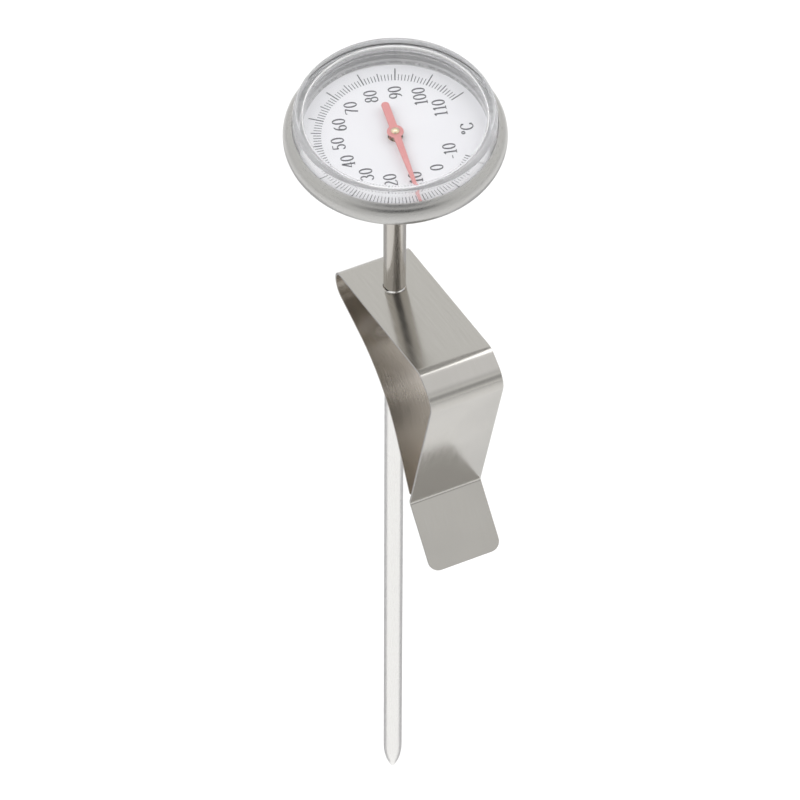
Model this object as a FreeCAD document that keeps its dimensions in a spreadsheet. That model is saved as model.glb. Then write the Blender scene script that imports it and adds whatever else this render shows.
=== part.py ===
import FreeCAD, Part
import math
import os
import re
import Sketcher
from FreeCAD import Rotation, Vector

# A dial thermometer for a milk jug: a round head, a thin probe and a spring clip that hangs it on the rim.
# Z runs up the probe. The clip's arm stands out towards -Y and its strip is as wide as X.
# Heights in the sheet count from the widest circle of the head. The origin is on the probe's axis,
# level with the line where the clip grips the rim, so every piece is raised by jaw_drop.

doc = FreeCAD.newDocument("dial_thermometer")

# name, value in millimetres or degrees, what it is
dimensions = [
    ("case_radius", 22.15, "head, at its widest circle"),
    ("side_curve", 3.5, "radius of the head's rounded side"),
    ("skin", 0.5, "sheet thickness of cup and ring"),
    ("fit_gap", 0.02, "radial play of a pressed fit"),
    ("side_sweep", 60, "how far the ring wraps under the head, degrees"),
    ("lip_sweep", 58, "how far the ring wraps over the lens, degrees"),
    ("floor_depth", 6, "widest circle down to the cup's outer floor"),
    ("cup_rim", 1.6, "widest circle down to the cup's rim"),
    ("dial_radius", 21, "edge of the dial, resting on the cup"),
    ("dial_sheet", 0.5, "dial thickness"),
    ("dial_hole", 1.5, "radius of the hole for the hub"),
    ("gasket_inner", 18.7, "gasket, inner radius"),
    ("gasket_outer", 20.9, "gasket, outer radius"),
    ("gasket_thick", 0.5, "gasket thickness"),
    ("lens_radius", 20.15, "lens side wall, outside"),
    ("lens_inner", 18.4, "lens side wall, inside"),
    ("lens_flange", 20.6, "lens flange held by the ring"),
    ("flange_low", 1.3, "underside of that flange"),
    ("flange_thick", 0.9, "lens flange thickness"),
    ("lens_top", 6.5, "top of the lens above the widest circle"),
    ("lens_roof", 1.4, "lens thickness over the dial"),
    ("lens_shoulder", 1, "radius of the lens's top edge"),
    ("stem_radius", 2, "probe, outside"),
    ("stem_wall", 0.35, "probe wall"),
    ("stem_rise", 2.7, "top of the probe tube, below the widest circle"),
    ("probe_depth", 214, "tip of the probe"),
    ("tip_length", 8, "length of the bullet end"),
    ("tip_curve", 19.75, "radius of the bullet's sides"),
    ("nose_radius", 0.5, "where the bullet's sides meet the nose"),
    ("nose_height", 0.45, "height of the nose"),
    ("plug_spigot", 3, "how far the tip plug goes into the tube"),
    ("neck_radius", 2.3, "neck sleeve, outside"),
    ("neck_end", 45.85, "lower end of the neck sleeve"),
    ("washer_radius", 4, "seal washer, outside"),
    ("washer_thick", 0.8, "seal washer thickness"),
    ("bush_flange", 5, "stem bush flange radius"),
    ("bush_flange_thick", 1, "stem bush flange thickness"),
    ("bush_radius", 3, "stem bush barrel radius"),
    ("guide_flange", 2.6, "upper guide flange radius"),
    ("guide_flange_thick", 0.8, "upper guide flange thickness"),
    ("upper_guide_bottom", 6, "lower end of the upper guide"),
    ("lower_guide_top", 157, "top of the lower guide"),
    ("lower_guide_length", 3, "length of the lower guide"),
    ("spindle_radius", 0.5, "spindle"),
    ("spindle_play", 0.05, "radial play of the spindle in its guides"),
    ("anchor_length", 2.5, "coil anchor plug"),
    ("anchor_pip", 0.9, "radius of the pip inside the coil's first turn"),
    ("pip_height", 1, "height of that pip"),
    ("coil_radius", 1.4, "coil, outside"),
    ("ribbon_thick", 0.25, "bimetal ribbon thickness"),
    ("ribbon_width", 1.6, "bimetal ribbon width"),
    ("coil_pitch", 2.6, "rise of each turn"),
    ("coil_turns", 13, "number of turns"),
    ("collet_length", 3.5, "coil collet"),
    ("spindle_entry", 1, "how far the spindle stands above the collet's lower face"),
    ("pointer_height", 0.05, "underside of the pointer"),
    ("pointer_sheet", 0.3, "pointer thickness"),
    ("pointer_angle", 261.55, "direction of the long arm seen from above, degrees from +X"),
    ("arm_reach", 17.5, "tip of the long arm from the axis"),
    ("arm_root", 1.5, "width of the long arm at the hub"),
    ("arm_tip", 0.55, "width of the long arm at its tip"),
    ("tail_reach", 7.9, "end of the tail from the axis"),
    ("tail_width", 1.6, "width of the tail"),
    ("pointer_boss", 1.65, "radius of the pointer's disc"),
    ("hub_collar", 1.1, "hub collar radius"),
    ("hub_drop", 1, "lower end of the hub, below the widest circle"),
    ("hub_neck", 0.7, "hub where it passes through the pointer"),
    ("hub_head", 0.85, "radius of the hub's riveted head"),
    ("head_edge", 0.2, "height of the head's straight edge"),
    ("head_dome", 1.35, "radius of the head's dome"),
    ("strip_width", 15.8, "clip strip width"),
    ("strip_thick", 0.5, "clip strip thickness"),
    ("plate_slope", 17.2, "rise of the clip's top plate, degrees"),
    ("plate_depth", 47.08, "top plate where the probe crosses it"),
    ("fold_reach", 11.5, "back fold, how far behind the axis"),
    ("fold_radius", 3.1, "back fold, at the middle of the sheet"),
    ("fold_gap", 0.12, "relief between the two leaves at the fold"),
    ("leaf_depth", 57.77, "back leaf where the probe crosses it"),
    ("shoulder_out", 29.1, "first bend of the front, from the axis"),
    ("shoulder_radius", 3.5, "radius of that bend"),
    ("knee_out", 35.4, "second bend of the front, from the axis"),
    ("knee_depth", 41.3, "second bend of the front"),
    ("knee_radius", 4.1, "radius of that bend"),
    ("jaw_out", 25.1, "grip line, from the axis"),
    ("jaw_drop", 84.7, "grip line below the widest circle"),
    ("crease_radius", 1.1, "radius of the crease at the grip line"),
    ("tab_out", 35.9, "end of the grip tab, from the axis"),
    ("tab_depth", 95.6, "end of the grip tab"),
    ("tab_corner", 2.2, "radius of the tab's corners"),
    ("leaf_fall", 9.3, "fall of the back leaf towards its bend, degrees"),
    ("leaf_turn", 12.3, "bend of the back leaf, from the axis"),
    ("leaf_radius", 26, "radius of that bend"),
    ("leaf_slope", 30, "back leaf below its bend, degrees from upright"),
    ("leaf_end", 81.9, "free end of the back leaf"),
    ("slot_width", 4.3, "slot in the top plate, across the strip"),
    ("slot_length", 5.4, "slot in the top plate, along the strip"),
    ("leaf_hole", 2.8, "radius of the hole in the back leaf"),
]


def make_sheet():
    """Put every dimension in its own row, with its name as the alias of the value's cell."""
    sheet = doc.addObject("Spreadsheet::Sheet", "dims")
    for row, (name, number, meaning) in enumerate(dimensions, start=1):
        sheet.set(f"A{row}", name)
        sheet.set(f"B{row}", str(number))
        sheet.set(f"C{row}", meaning)
        sheet.setAlias(f"B{row}", name)
    doc.recompute()
    return sheet


sheet = make_sheet()


def bound(expression):
    """The expression with each dimension's name pointed at the sheet; function names stay as they are."""
    return re.sub(r"[a-z_]+\b(?!\()", r"dims.\g<0>", expression)


def number(expression):
    """The value of an expression in the sheet's names."""
    return float(sheet.evalExpression(bound(expression)))


def origin_plane(body, role):
    """One of the body's own origin planes."""
    return next(feature for feature in body.Origin.OriginFeatures if feature.Role == role)


def new_body(label):
    """A body whose zero height is the head's widest circle."""
    body = doc.addObject("PartDesign::Body", label)
    body.Label = label
    body.setExpression("Placement.Base.z", bound("jaw_drop"))
    return body


def new_sketch(body, name, role):
    """An empty sketch on one of the body's origin planes."""
    sketch = body.newObject("Sketcher::SketchObject", name)
    sketch.AttachmentSupport = (origin_plane(body, role), [""])
    sketch.MapMode = "FlatFace"
    return sketch


def hold(sketch, kind, expression, *where):
    """Add a dimension constraint and bind it to the sheet."""
    index = sketch.addConstraint(Sketcher.Constraint(kind, *where, number(expression)))
    sketch.setExpression(f"Constraints[{index}]", bound(expression))


def hold_point(sketch, edge, end, across, up):
    """Fix one end point of an edge, or a circle's centre, by its two coordinates."""
    for kind, expression, axis in (("DistanceX", across, -2), ("DistanceY", up, -1)):
        if expression == "0":
            sketch.addConstraint(Sketcher.Constraint("PointOnObject", edge, end, axis))
        else:
            hold(sketch, kind, expression, -1, 1, edge, end)


def arc_through(start, end, radius):
    """The short arc from start to end; a positive radius bulges to the right of the way there."""
    chord = end - start
    right = Vector(chord.y, -chord.x, 0).normalize()
    rise = abs(radius) - math.sqrt(max(radius**2 - (chord.Length / 2) ** 2, 0))
    middle = (start + end) / 2 + right * math.copysign(rise, radius)
    return Part.Arc(start, middle, end)


def draw_outline(sketch, corners):
    """Draw a closed outline. A corner is (across, up), or (across, up, radius) where an arc follows it."""
    points = [Vector(number(corner[0]), number(corner[1]), 0) for corner in corners]
    count = len(corners)
    for i, corner in enumerate(corners):
        start, end = points[i], points[(i + 1) % count]
        if len(corner) == 3:
            sketch.addGeometry(arc_through(start, end, number(corner[2])), False)
        else:
            sketch.addGeometry(Part.LineSegment(start, end), False)
    # an arc drawn clockwise is stored the other way round, so its start is its last point
    ends = []
    for i in range(count):
        first = (sketch.getPoint(i, 1) - points[i]).Length < 1e-6
        ends.append((1, 2) if first else (2, 1))
    for i, corner in enumerate(corners):
        after = (i + 1) % count
        sketch.addConstraint(Sketcher.Constraint("Coincident", i, ends[i][1], after, ends[after][0]))
        hold_point(sketch, i, ends[i][0], corner[0], corner[1])
        if len(corner) == 3:
            hold(sketch, "Radius", corner[2].lstrip("-"), i)


def draw_circle(sketch, across, radius):
    """Draw a circle whose centre is on the sketch's horizontal axis."""
    centre = Vector(number(across), 0, 0)
    sketch.addGeometry(Part.Circle(centre, Vector(0, 0, 1), number(radius)), False)
    hold_point(sketch, 0, 3, across, "0")
    hold(sketch, "Radius", radius, 0)


def turned(label, corners):
    """A piece turned on the probe's axis from a half section of (radius, height) corners."""
    body = new_body(label)
    sketch = new_sketch(body, label + "_section", "XZ_Plane")
    draw_outline(sketch, corners)
    turn = body.newObject("PartDesign::Revolution", label + "_turn")
    turn.Profile = sketch
    turn.ReferenceAxis = (sketch, ["V_Axis"])
    turn.Angle = 360
    return body


def ring(label, inner, outer, bottom, top):
    """A plain turned ring or tube."""
    return turned(label, [(inner, bottom), (outer, bottom), (outer, top), (inner, top)])


def case_cup():
    """Pressed cup: a flat floor, a cone that runs into the rounded side, and a plain rim for the dial."""
    outside = "(side_curve - skin - fit_gap)"
    inside = "(side_curve - 2 * skin - fit_gap)"
    centre = "case_radius - side_curve"
    bore = "stem_radius + fit_gap"
    cone = "{0} + {1} * cos(side_sweep) - ({2} - {1} * sin(side_sweep)) * tan(side_sweep)"
    return turned("case_cup", [
        (bore, "-floor_depth"),
        (cone.format(centre, outside, "floor_depth"), "-floor_depth"),
        (f"{centre} + {outside} * cos(side_sweep)", f"-{outside} * sin(side_sweep)", outside),
        (f"{centre} + sqrt({outside} ^ 2 - cup_rim ^ 2)", "-cup_rim"),
        (f"{centre} + sqrt({inside} ^ 2 - cup_rim ^ 2)", "-cup_rim", "-" + inside),
        (f"{centre} + {inside} * cos(side_sweep)", f"-{inside} * sin(side_sweep)"),
        (cone.format(centre, inside, "floor_depth - skin"), "skin - floor_depth"),
        (bore, "skin - floor_depth"),
    ])


def bezel_ring():
    """Rounded ring of even thickness, rolled under the cup and over the lens flange."""
    centre = "case_radius - side_curve"
    inside = "(side_curve - skin)"
    return turned("bezel_ring", [
        (f"{centre} + side_curve * cos(side_sweep)", "-side_curve * sin(side_sweep)", "side_curve"),
        (f"{centre} + side_curve * cos(lip_sweep)", "side_curve * sin(lip_sweep)"),
        (f"{centre} + {inside} * cos(lip_sweep)", f"{inside} * sin(lip_sweep)", "-" + inside),
        (f"{centre} + {inside} * cos(side_sweep)", f"-{inside} * sin(side_sweep)"),
    ])


def lens():
    """Clear cap: a thick side wall with a flange under the ring's lip, a rounded shoulder and a flat roof."""
    seat = "dial_sheet + gasket_thick - cup_rim"
    return turned("lens", [
        ("0", "lens_top - lens_roof"),
        ("lens_inner", "lens_top - lens_roof"),
        ("lens_inner", seat),
        ("lens_radius", seat),
        ("lens_radius", "flange_low"),
        ("lens_flange", "flange_low"),
        ("lens_flange", "flange_low + flange_thick"),
        ("lens_radius", "flange_low + flange_thick"),
        ("lens_radius", "lens_top - lens_shoulder", "lens_shoulder"),
        ("lens_radius - lens_shoulder", "lens_top"),
        ("0", "lens_top"),
    ])


def stem_bush():
    """Flanged bush on the cup's floor that the probe tube is pressed into."""
    bore = "stem_radius + fit_gap"
    floor = "skin - floor_depth"
    return turned("stem_bush", [
        (bore, floor),
        ("bush_flange", floor),
        ("bush_flange", floor + " + bush_flange_thick"),
        ("bush_radius", floor + " + bush_flange_thick"),
        ("bush_radius", "-stem_rise"),
        (bore, "-stem_rise"),
    ])


def tip_plug():
    """Bullet end with a spigot that goes into the tube."""
    spigot = "stem_radius - stem_wall - fit_gap"
    shoulder = "tip_length - probe_depth"
    return turned("tip_plug", [
        ("0", "-probe_depth", "nose_radius + fit_gap"),
        ("nose_radius", "nose_height - probe_depth", "tip_curve"),
        ("stem_radius", shoulder),
        (spigot, shoulder),
        (spigot, shoulder + " + plug_spigot"),
        ("0", shoulder + " + plug_spigot"),
    ])


anchor_top = "tip_length + plug_spigot + anchor_length - probe_depth"
coil_top = anchor_top + " + coil_pitch * coil_turns + ribbon_width"


def coil_anchor():
    """Plug above the tip, with a pip inside the coil's first turn."""
    wall = "stem_radius - stem_wall - fit_gap"
    bottom = "tip_length + plug_spigot - probe_depth"
    return turned("coil_anchor", [
        ("0", bottom),
        (wall, bottom),
        (wall, anchor_top),
        ("anchor_pip", anchor_top),
        ("anchor_pip", anchor_top + " + pip_height"),
        ("0", anchor_top + " + pip_height"),
    ])


def bimetal_coil():
    """Bimetal ribbon wound on edge as a helix, standing on the anchor."""
    body = new_body("bimetal_coil")
    sketch = new_sketch(body, "ribbon", "XZ_Plane")
    draw_outline(sketch, [
        ("coil_radius - ribbon_thick", anchor_top),
        ("coil_radius", anchor_top),
        ("coil_radius", anchor_top + " + ribbon_width"),
        ("coil_radius - ribbon_thick", anchor_top + " + ribbon_width"),
    ])
    helix = body.newObject("PartDesign::AdditiveHelix", "winding")
    helix.Profile = sketch
    helix.ReferenceAxis = (sketch, ["V_Axis"])
    helix.Mode = "pitch-turns-angle"
    helix.setExpression("Pitch", bound("coil_pitch"))
    helix.setExpression("Turns", bound("coil_turns"))
    return body


def upper_guide():
    """Flanged bush in the top of the probe that centres the spindle."""
    bore = "spindle_radius + spindle_play"
    wall = "stem_radius - stem_wall - fit_gap"
    return turned("upper_guide", [
        (bore, "-upper_guide_bottom"),
        (wall, "-upper_guide_bottom"),
        (wall, "-stem_rise"),
        ("guide_flange", "-stem_rise"),
        ("guide_flange", "guide_flange_thick - stem_rise"),
        (bore, "guide_flange_thick - stem_rise"),
    ])


def pointer_hub():
    """Brass collar under the pointer, a neck through it and a domed head riveted over it."""
    top = "pointer_height + pointer_sheet"
    rise = "(head_dome - sqrt(head_dome ^ 2 - hub_head ^ 2))"
    return turned("pointer_hub", [
        ("spindle_radius", "-hub_drop"),
        ("hub_collar", "-hub_drop"),
        ("hub_collar", "pointer_height"),
        ("hub_neck", "pointer_height"),
        ("hub_neck", top),
        ("hub_head", top),
        ("hub_head", top + " + head_edge", "head_dome"),
        ("0", top + " + head_edge + " + rise),
        ("0", top),
        ("spindle_radius", top),
    ])


def pointer():
    """Stamped hand: a tapering long arm, a round boss and a tail with a round end, lying along +X."""
    body = new_body("pointer")
    tail_end = "tail_width / 2 - tail_reach"
    outlines = {
        "arm": [
            ("0", "-arm_root / 2"),
            ("arm_reach", "-arm_tip / 2"),
            ("arm_reach", "arm_tip / 2"),
            ("0", "arm_root / 2"),
        ],
        "tail": [
            (tail_end, "-tail_width / 2"),
            ("0", "-tail_width / 2"),
            ("0", "tail_width / 2"),
            (tail_end, "tail_width / 2"),
        ],
    }
    discs = {"tail_end": (tail_end, "tail_width / 2"), "boss": ("0", "pointer_boss")}
    for name in (*outlines, *discs):
        sketch = new_sketch(body, name, "XY_Plane")
        if name in outlines:
            draw_outline(sketch, outlines[name])
        else:
            draw_circle(sketch, *discs[name])
        sheet_pad = body.newObject("PartDesign::Pad", name + "_sheet")
        sheet_pad.Profile = sketch
        sheet_pad.setExpression("Length", bound("pointer_sheet"))
    eye = new_sketch(body, "eye", "XY_Plane")
    draw_circle(eye, "0", "hub_neck")
    punch = body.newObject("PartDesign::Pocket", "eye_punch")
    punch.Profile = eye
    punch.Type = "ThroughAll"
    punch.Reversed = True
    body.setExpression("Placement.Base.z", bound("jaw_drop + pointer_height"))
    body.Placement.Rotation = Rotation(Vector(0, 0, 1), number("pointer_angle"))
    body.setExpression("Placement.Rotation.Angle", bound("pointer_angle"))
    return body


def shifted(corners, offset):
    """The corner points of a path moved sideways by offset, to the left of its direction."""
    moved = []
    for i, corner in enumerate(corners):
        normals = []
        for a, b in ((i - 1, i), (i, i + 1)):
            if a >= 0 and b < len(corners):
                along = (corners[b] - corners[a]).normalize()
                normals.append(Vector(-along.y, along.x, 0))
        normal = (normals[0] + normals[-1]).normalize()
        moved.append(corner + normal * (offset / normal.dot(normals[0])))
    return moved


def rounded_path(corners, radii, offset):
    """The edges of one side of a bent strip: straight runs joined by tangent arcs."""
    points = shifted(corners, offset)
    edges = []
    start = points[0]
    for before, corner, after, radius in zip(points, points[1:], points[2:], radii):
        arriving = (corner - before).normalize()
        leaving = (after - corner).normalize()
        turn = arriving.getAngle(leaving)
        left = arriving.cross(leaving).z > 0
        side_radius = radius - offset if left else radius + offset
        reach = side_radius * math.tan(turn / 2)
        enter = corner - arriving * reach
        leave = corner + leaving * reach
        inward = (leaving - arriving).normalize()
        middle = corner + inward * (side_radius / math.cos(turn / 2) - side_radius)
        edges.append(Part.LineSegment(start, enter).toShape())
        edges.append(Part.Arc(enter, middle, leave).toShape())
        start = leave
    edges.append(Part.LineSegment(start, points[-1]).toShape())
    return edges, points[0], points[-1]


def bent_strip(corners, radii):
    """A strip bent along a path of (outward, height) corners, with its middle plane on the path."""
    path = [Vector(out, height, 0) for out, height in corners]
    half = number("strip_thick") / 2
    left, left_start, left_end = rounded_path(path, radii, half)
    right, right_start, right_end = rounded_path(path, radii, -half)
    edges = left + [Part.LineSegment(left_end, right_end).toShape()]
    edges += right + [Part.LineSegment(right_start, left_start).toShape()]
    face = Part.Face(Part.Wire(Part.__sortEdges__(edges)))
    width = number("strip_width")
    strip = face.extrude(Vector(0, 0, width))
    strip.translate(Vector(0, 0, -width / 2))
    # outward becomes -Y, height stays Z and the strip's width lies along X
    strip.rotate(Vector(0, 0, 0), Vector(0, 1, 0), -90)
    strip.rotate(Vector(0, 0, 0), Vector(1, 0, 0), 90)
    return strip


def plate_height(out):
    """Height of the top plate's middle plane at a distance from the probe's axis."""
    return out * math.tan(math.radians(number("plate_slope"))) - number("plate_depth")


def clip_piece(label, shape):
    """Add a finished clip shape to the document and set it in place."""
    piece = doc.addObject("Part::Feature", label)
    piece.Label = label
    piece.Shape = shape
    piece.Placement.Base = Vector(0, 0, number("jaw_drop"))
    return piece


def rounded_tab(strip):
    """Round the two free corners of the grip tab, whose short edges run through the sheet."""
    tab = Vector(0, -number("tab_out"), -number("tab_depth"))
    thick = number("strip_thick")
    near = [
        edge for edge in strip.Edges
        if abs(edge.Length - thick) < 1e-3 and abs(edge.CenterOfMass.y - tab.y) < thick
        and abs(edge.CenterOfMass.z - tab.z) < thick
    ]
    return strip.makeFillet(number("tab_corner"), near)


def plate_slot():
    """A cutter for the round-ended slot, standing square to the sloping top plate."""
    half_width = number("slot_width") / 2
    straight = number("slot_length") / 2 - half_width
    depth = 4 * number("strip_thick")
    slot = Part.makeBox(2 * half_width, 2 * straight, depth, Vector(-half_width, -straight, -depth / 2))
    for end in (-straight, straight):
        slot = slot.fuse(Part.makeCylinder(half_width, depth, Vector(0, end, -depth / 2)))
    slot.rotate(Vector(0, 0, 0), Vector(1, 0, 0), -number("plate_slope"))
    slot.translate(Vector(0, 0, -number("plate_depth")))
    return slot


def clip_front_leaf():
    """Grip tab, front arm, two bends, sloping top plate and the upper half of the back fold."""
    fold = -number("fold_reach")
    centre = plate_height(fold)
    corners = [
        (number("tab_out"), -number("tab_depth")),
        (number("jaw_out"), -number("jaw_drop")),
        (number("knee_out"), -number("knee_depth")),
        (number("shoulder_out"), plate_height(number("shoulder_out"))),
        (fold, centre),
        (fold, fold_split() + number("fold_gap") / 2),
    ]
    bends = ("crease_radius", "knee_radius", "shoulder_radius", "fold_radius")
    strip = rounded_tab(bent_strip(corners, [number(bend) for bend in bends]))
    return clip_piece("clip_front_leaf", strip.cut(plate_slot()))


def leaf_height(out):
    """Height of the back leaf's middle plane at a distance from the probe's axis, up to its bend."""
    return -out * math.tan(math.radians(number("leaf_fall"))) - number("leaf_depth")


def fold_split():
    """Height of the fold's rearmost line, where the two leaves part."""
    bend = number("fold_radius * tan(45 - leaf_fall / 2)")
    return leaf_height(-number("fold_reach")) + bend + number("fold_gap")


def clip_back_leaf():
    """Lower half of the back fold, and the leaf that curves down to the jaw."""
    fold = -number("fold_reach")
    turn = number("leaf_turn")
    drop = leaf_height(turn) + number("leaf_end")
    end = turn + drop * math.tan(math.radians(number("leaf_slope")))
    corners = [
        (fold, fold_split() - number("fold_gap") / 2),
        (fold, leaf_height(fold)),
        (turn, leaf_height(turn)),
        (end, -number("leaf_end")),
    ]
    strip = bent_strip(corners, [number("fold_radius"), number("leaf_radius")])
    thick = number("strip_thick")
    hole = Part.makeCylinder(number("leaf_hole"), 6 * thick, Vector(0, 0, leaf_height(0) - 3 * thick))
    return clip_piece("clip_back_leaf", strip.cut(hole))


def build():
    """Make every piece, in the order of assembly."""
    bore = "stem_radius + fit_gap"
    inner_wall = "stem_radius - stem_wall"
    spindle_bore = "spindle_radius + spindle_play"
    pieces = [
        case_cup(),
        bezel_ring(),
        lens(),
        ring("lens_gasket", "gasket_inner", "gasket_outer",
             "dial_sheet - cup_rim", "dial_sheet + gasket_thick - cup_rim"),
        ring("dial_plate", "dial_hole", "dial_radius", "-cup_rim", "dial_sheet - cup_rim"),
        stem_bush(),
        ring("seal_washer", bore, "washer_radius", "-floor_depth - washer_thick", "-floor_depth"),
        ring("neck_sleeve", bore, "neck_radius", "-neck_end", "-floor_depth - washer_thick"),
        ring("stem_tube", inner_wall, "stem_radius", "tip_length - probe_depth", "-stem_rise"),
        tip_plug(),
        coil_anchor(),
        bimetal_coil(),
        ring("coil_collet", "spindle_radius", "coil_radius", coil_top, coil_top + " + collet_length"),
        ring("spindle", "0", "spindle_radius", coil_top + " + spindle_entry", "pointer_height + pointer_sheet"),
        ring("lower_guide", spindle_bore, inner_wall + " - fit_gap",
             "-lower_guide_top - lower_guide_length", "-lower_guide_top"),
        upper_guide(),
        pointer(),
        pointer_hub(),
        clip_front_leaf(),
        clip_back_leaf(),
    ]
    doc.recompute()
    return pieces


def check(pieces):
    """Stop if any object failed, or if a piece has no valid closed shape."""
    for item in doc.Objects:
        if "Invalid" in item.State or "Error" in item.State:
            raise RuntimeError(f"{item.Label} failed: {item.State}")
    for piece in pieces:
        shape = piece.Shape
        if shape.isNull() or not shape.isValid() or not shape.Solids:
            raise RuntimeError(f"{piece.Label} has no valid solid")
        print(f"{piece.Label:16} {len(shape.Solids)} solid, {shape.Volume:10.3f} mm3, {len(shape.Faces)} faces")


def export(pieces):
    """Write one STEP file for each piece."""
    os.makedirs("parts", exist_ok=True)
    for piece in pieces:
        piece.Shape.exportStep(f"parts/{piece.Label}.step")


pieces = build()
check(pieces)
export(pieces)
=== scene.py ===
import math
import bmesh
import bpy
from mathutils import Matrix, Vector


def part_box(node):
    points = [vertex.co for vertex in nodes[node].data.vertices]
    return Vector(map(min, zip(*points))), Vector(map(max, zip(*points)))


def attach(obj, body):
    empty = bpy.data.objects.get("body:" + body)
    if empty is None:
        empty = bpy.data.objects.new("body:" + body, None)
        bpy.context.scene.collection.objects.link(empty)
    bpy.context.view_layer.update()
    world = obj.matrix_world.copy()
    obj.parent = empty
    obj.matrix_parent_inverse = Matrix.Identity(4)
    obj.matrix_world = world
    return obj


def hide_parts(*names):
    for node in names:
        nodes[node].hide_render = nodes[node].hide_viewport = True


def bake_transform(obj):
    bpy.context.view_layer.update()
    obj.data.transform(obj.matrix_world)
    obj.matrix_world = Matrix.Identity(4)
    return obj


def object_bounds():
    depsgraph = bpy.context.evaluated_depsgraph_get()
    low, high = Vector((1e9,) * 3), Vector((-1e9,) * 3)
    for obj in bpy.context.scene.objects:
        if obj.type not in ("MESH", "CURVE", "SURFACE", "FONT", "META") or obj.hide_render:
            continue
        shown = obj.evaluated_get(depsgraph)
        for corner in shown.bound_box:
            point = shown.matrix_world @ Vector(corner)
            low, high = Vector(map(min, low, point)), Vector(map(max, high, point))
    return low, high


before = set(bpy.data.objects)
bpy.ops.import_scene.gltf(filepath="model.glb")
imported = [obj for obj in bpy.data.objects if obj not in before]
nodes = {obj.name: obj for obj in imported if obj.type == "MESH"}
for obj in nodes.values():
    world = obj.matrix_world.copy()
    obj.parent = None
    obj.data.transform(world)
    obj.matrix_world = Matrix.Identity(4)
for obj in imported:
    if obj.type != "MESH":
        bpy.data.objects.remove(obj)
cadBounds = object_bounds()
mm = 0.001


def linear(hexColour):
    channels = [int(hexColour[i:i + 2], 16) / 255 for i in (0, 2, 4)]
    return [c / 12.92 if c <= 0.04045 else ((c + 0.055) / 1.055) ** 2.4 for c in channels] + [1.0]


def addNode(tree, kind, inputs=None, **settings):
    node = tree.nodes.new("ShaderNode" + kind)
    for name, value in settings.items():
        setattr(node, name, value)
    for name, value in (inputs or {}).items():
        if isinstance(value, bpy.types.NodeSocket):
            tree.links.new(value, node.inputs[name])
        else:
            node.inputs[name].default_value = value
    return node


def newMaterial(name, surface):
    # surface holds the plain values of the Principled shader
    material = bpy.data.materials.new(name)
    material.use_nodes = True
    tree = material.node_tree
    shader = tree.nodes["Principled BSDF"]
    for socket, value in surface.items():
        shader.inputs[socket].default_value = value
    return material, tree, shader


def feed(tree, shader, **sockets):
    # links such as Roughness=..., with _ for a space in the socket's name
    for name, value in sockets.items():
        tree.links.new(value, shader.inputs[name.replace("_", " ")])


def makePiece(name, vertices, faces, material, body):
    mesh = bpy.data.meshes.new(name)
    mesh.from_pydata(vertices, [], faces)
    mesh.validate()
    piece = bpy.data.objects.new(name, mesh)
    bpy.context.scene.collection.objects.link(piece)
    mesh.materials.append(material)
    cleanNormals(mesh)
    if body:
        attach(piece, body)
    return piece


def cleanNormals(mesh):
    work = bmesh.new()
    work.from_mesh(mesh)
    bmesh.ops.remove_doubles(work, verts=work.verts, dist=1e-7)
    bmesh.ops.recalc_face_normals(work, faces=work.faces)
    work.to_mesh(mesh)
    work.free()


def smoothBelow(mesh, degrees):
    for polygon in mesh.polygons:
        polygon.use_smooth = True
    mesh.set_sharp_from_angle(angle=math.radians(degrees))


def bakeModifiers(piece):
    evaluated = piece.evaluated_get(bpy.context.evaluated_depsgraph_get())
    final = bpy.data.meshes.new_from_object(evaluated)
    piece.modifiers.clear()
    piece.data = final


def roundedLine(corners, closed=False, steps=8):
    # corners are (x, y, radius); returns points with each corner turned into a tangent arc
    points = []
    count = len(corners)
    for i, (x, y, radius) in enumerate(corners):
        corner = Vector((x, y))
        if radius == 0 or (not closed and i in (0, count - 1)):
            points.append(corner)
            continue
        before = Vector(corners[i - 1][:2]) - corner
        after = Vector(corners[(i + 1) % count][:2]) - corner
        before.normalize()
        after.normalize()
        half = before.angle(after) / 2
        reach = radius / math.tan(half)
        centre = corner + (before + after).normalized() * (radius / math.sin(half))
        start = corner + before * reach - centre
        sweep = start.angle_signed(corner + after * reach - centre)
        for k in range(steps + 1):
            turn = Matrix.Rotation(-sweep * k / steps, 2)
            points.append(centre + turn @ start)
    return points


def lathe(name, outline, material, body, segments=160, smooth=32):
    # outline is a closed list of (radius, height) in metres, turned round the probe's axis
    vertices, faces, rows = [], [], []
    for radius, height in outline:
        if radius < 1e-7:
            rows.append([len(vertices)] * segments)
            vertices.append((0, 0, height))
            continue
        rows.append(list(range(len(vertices), len(vertices) + segments)))
        for k in range(segments):
            angle = 2 * math.pi * k / segments
            vertices.append((radius * math.cos(angle), radius * math.sin(angle), height))
    for i, row in enumerate(rows):
        nextRow = rows[(i + 1) % len(rows)]
        for k in range(segments):
            j = (k + 1) % segments
            corners = [row[k], row[j], nextRow[j], nextRow[k]]
            kept = list(dict.fromkeys(corners))
            if len(kept) > 2:
                faces.append(kept)
    piece = makePiece(name, vertices, faces, material, body)
    smoothBelow(piece.data, smooth)
    return piece


def bandOutline(path, thickness):
    # both sides of a sheet whose middle line is path, as two lists of points, with the normals
    normals = []
    for i, point in enumerate(path):
        before = path[max(i - 1, 0)]
        after = path[min(i + 1, len(path) - 1)]
        along = (after - before).normalized()
        normals.append(Vector((-along.y, along.x)))
    left = [p + n * thickness / 2 for p, n in zip(path, normals)]
    right = [p - n * thickness / 2 for p, n in zip(path, normals)]
    return left, right


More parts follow.
